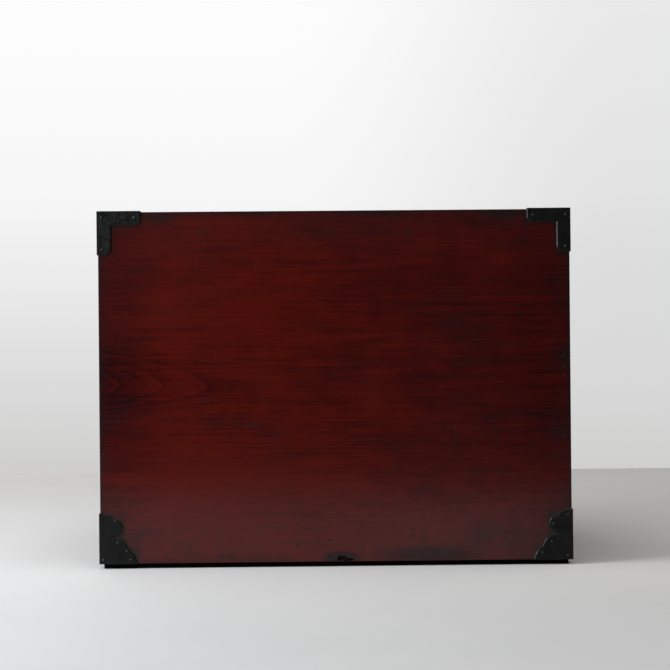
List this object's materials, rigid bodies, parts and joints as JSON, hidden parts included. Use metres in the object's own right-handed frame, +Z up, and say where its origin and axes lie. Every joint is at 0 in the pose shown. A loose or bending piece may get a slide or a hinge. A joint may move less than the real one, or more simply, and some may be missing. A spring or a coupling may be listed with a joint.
{
  "type": "tansu sea chest",
  "caption": "Lacquered wooden sea chest with forged iron corners, drawers and a locking cupboard door, for keeping papers and valuables aboard ship.",
  "frame": {"origin": "floor level, at the middle of the bounding box in X and Y", "axes": "+Z up; the front with drawers and door faces -Y; +X is to the right seen from the front"},
  "size_m": [0.6306, 0.4162, 0.4545],
  "materials": {
    "red_wiped_lacquer": "wiped red lacquer over showing grain, satin gloss",
    "paulownia": "bare planed wood",
    "stained_batten": "dark stain",
    "black_iron": "forged iron, blackened and lacquered"
  },
  "bodies": {
    "chest": {"back_panel": "red_wiped_lacquer", "base_runner_front": "stained_batten", "base_runner_rear": "stained_batten", "bottom_board": "red_wiped_lacquer", "compartment_shelf": "paulownia", "divider": "red_wiped_lacquer", "door_hinge_lower_frame_leaf": "black_iron", "door_hinge_lower_pin": "black_iron", "door_hinge_upper_frame_leaf": "black_iron", "door_hinge_upper_pin": "black_iron", "drawer_shelf": "red_wiped_lacquer", "front_lower_left_iron": "black_iron", "front_lower_right_iron": "black_iron", "front_upper_left_iron": "black_iron", "front_upper_right_iron": "black_iron", "left_side": "red_wiped_lacquer", "left_side_handle_plate": "black_iron", "mid_shelf": "red_wiped_lacquer", "rear_lower_left_iron": "black_iron", "rear_lower_right_iron": "black_iron", "rear_upper_left_iron": "black_iron", "rear_upper_right_iron": "black_iron", "right_side": "red_wiped_lacquer", "right_side_handle_plate": "black_iron", "top_board": "red_wiped_lacquer"},
    "upper_drawer": {"upper_drawer_front": "red_wiped_lacquer", "upper_drawer_left": "paulownia", "upper_drawer_right": "paulownia", "upper_drawer_back": "paulownia", "upper_drawer_bottom": "paulownia", "upper_drawer_handle_plate": "black_iron"},
    "right_upper_drawer": {"right_upper_drawer_front": "red_wiped_lacquer", "right_upper_drawer_left": "paulownia", "right_upper_drawer_right": "paulownia", "right_upper_drawer_back": "paulownia", "right_upper_drawer_bottom": "paulownia", "right_upper_drawer_handle_plate": "black_iron"},
    "right_lower_drawer": {"right_lower_drawer_front": "red_wiped_lacquer", "right_lower_drawer_left": "paulownia", "right_lower_drawer_right": "paulownia", "right_lower_drawer_back": "paulownia", "right_lower_drawer_bottom": "paulownia", "right_lower_drawer_handle_plate": "black_iron"},
    "door": {"door_panel": "red_wiped_lacquer", "door_top_clamp": "red_wiped_lacquer", "door_bottom_clamp": "red_wiped_lacquer", "door_hinge_upper_door_leaf": "black_iron", "door_hinge_lower_door_leaf": "black_iron", "door_lock_plate": "black_iron", "door_lock_case": "black_iron", "door_handle_plate": "black_iron"},
    "lock_bolt": {"door_lock_bolt": "black_iron"},
    "door_bail": {"door_handle_bail": "black_iron"},
    "left_side_bail": {"left_side_handle_bail": "black_iron"},
    "right_lower_drawer_bail": {"right_lower_drawer_handle_bail": "black_iron"},
    "right_side_bail": {"right_side_handle_bail": "black_iron"},
    "right_upper_drawer_bail": {"right_upper_drawer_handle_bail": "black_iron"},
    "upper_drawer_bail": {"upper_drawer_handle_bail": "black_iron"}
  },
  "joints": [
    {"name": "upper_drawer_slide", "type": "slide", "parent": "chest", "child": "upper_drawer", "axis": [0, -1, 0], "range_m": [0, 0.3]},
    {"name": "right_upper_drawer_slide", "type": "slide", "parent": "chest", "child": "right_upper_drawer", "axis": [0, -1, 0], "range_m": [0, 0.3]},
    {"name": "right_lower_drawer_slide", "type": "slide", "parent": "chest", "child": "right_lower_drawer", "axis": [0, -1, 0], "range_m": [0, 0.3]},
    {"name": "door_hinge", "type": "hinge", "parent": "chest", "child": "door", "pos_m": [-0.2815, -0.19725, 0.17365], "axis": [0, 0, -1], "range_deg": [0, 170]},
    {"name": "lock_bolt_slide", "type": "slide", "parent": "door", "child": "lock_bolt", "axis": [1, 0, 0], "range_m": [0, 0.011]},
    {"name": "door_bail_pivot", "type": "hinge", "parent": "door", "child": "door_bail", "pos_m": [-0.03156, -0.20335, 0.1513], "axis": [-1, 0, 0], "range_deg": [0, 180]},
    {"name": "left_side_bail_pivot", "type": "hinge", "parent": "chest", "child": "left_side_bail", "pos_m": [-0.3105, 0.00665, 0.285], "axis": [0, 1, 0], "range_deg": [0, 180]},
    {"name": "right_lower_drawer_bail_pivot", "type": "hinge", "parent": "right_lower_drawer", "child": "right_lower_drawer_bail", "pos_m": [0.1665, -0.20335, 0.10917], "axis": [-1, 0, 0], "range_deg": [0, 180]},
    {"name": "right_side_bail_pivot", "type": "hinge", "parent": "chest", "child": "right_side_bail", "pos_m": [0.3105, 0.00665, 0.285], "axis": [0, -1, 0], "range_deg": [0, 180]},
    {"name": "right_upper_drawer_bail_pivot", "type": "hinge", "parent": "right_upper_drawer", "child": "right_upper_drawer_bail", "pos_m": [0.1665, -0.20335, 0.26452], "axis": [-1, 0, 0], "range_deg": [0, 180]},
    {"name": "upper_drawer_bail_pivot", "type": "hinge", "parent": "upper_drawer", "child": "upper_drawer_bail", "pos_m": [0, -0.20335, 0.3982], "axis": [-1, 0, 0], "range_deg": [0, 180]}
  ]
}
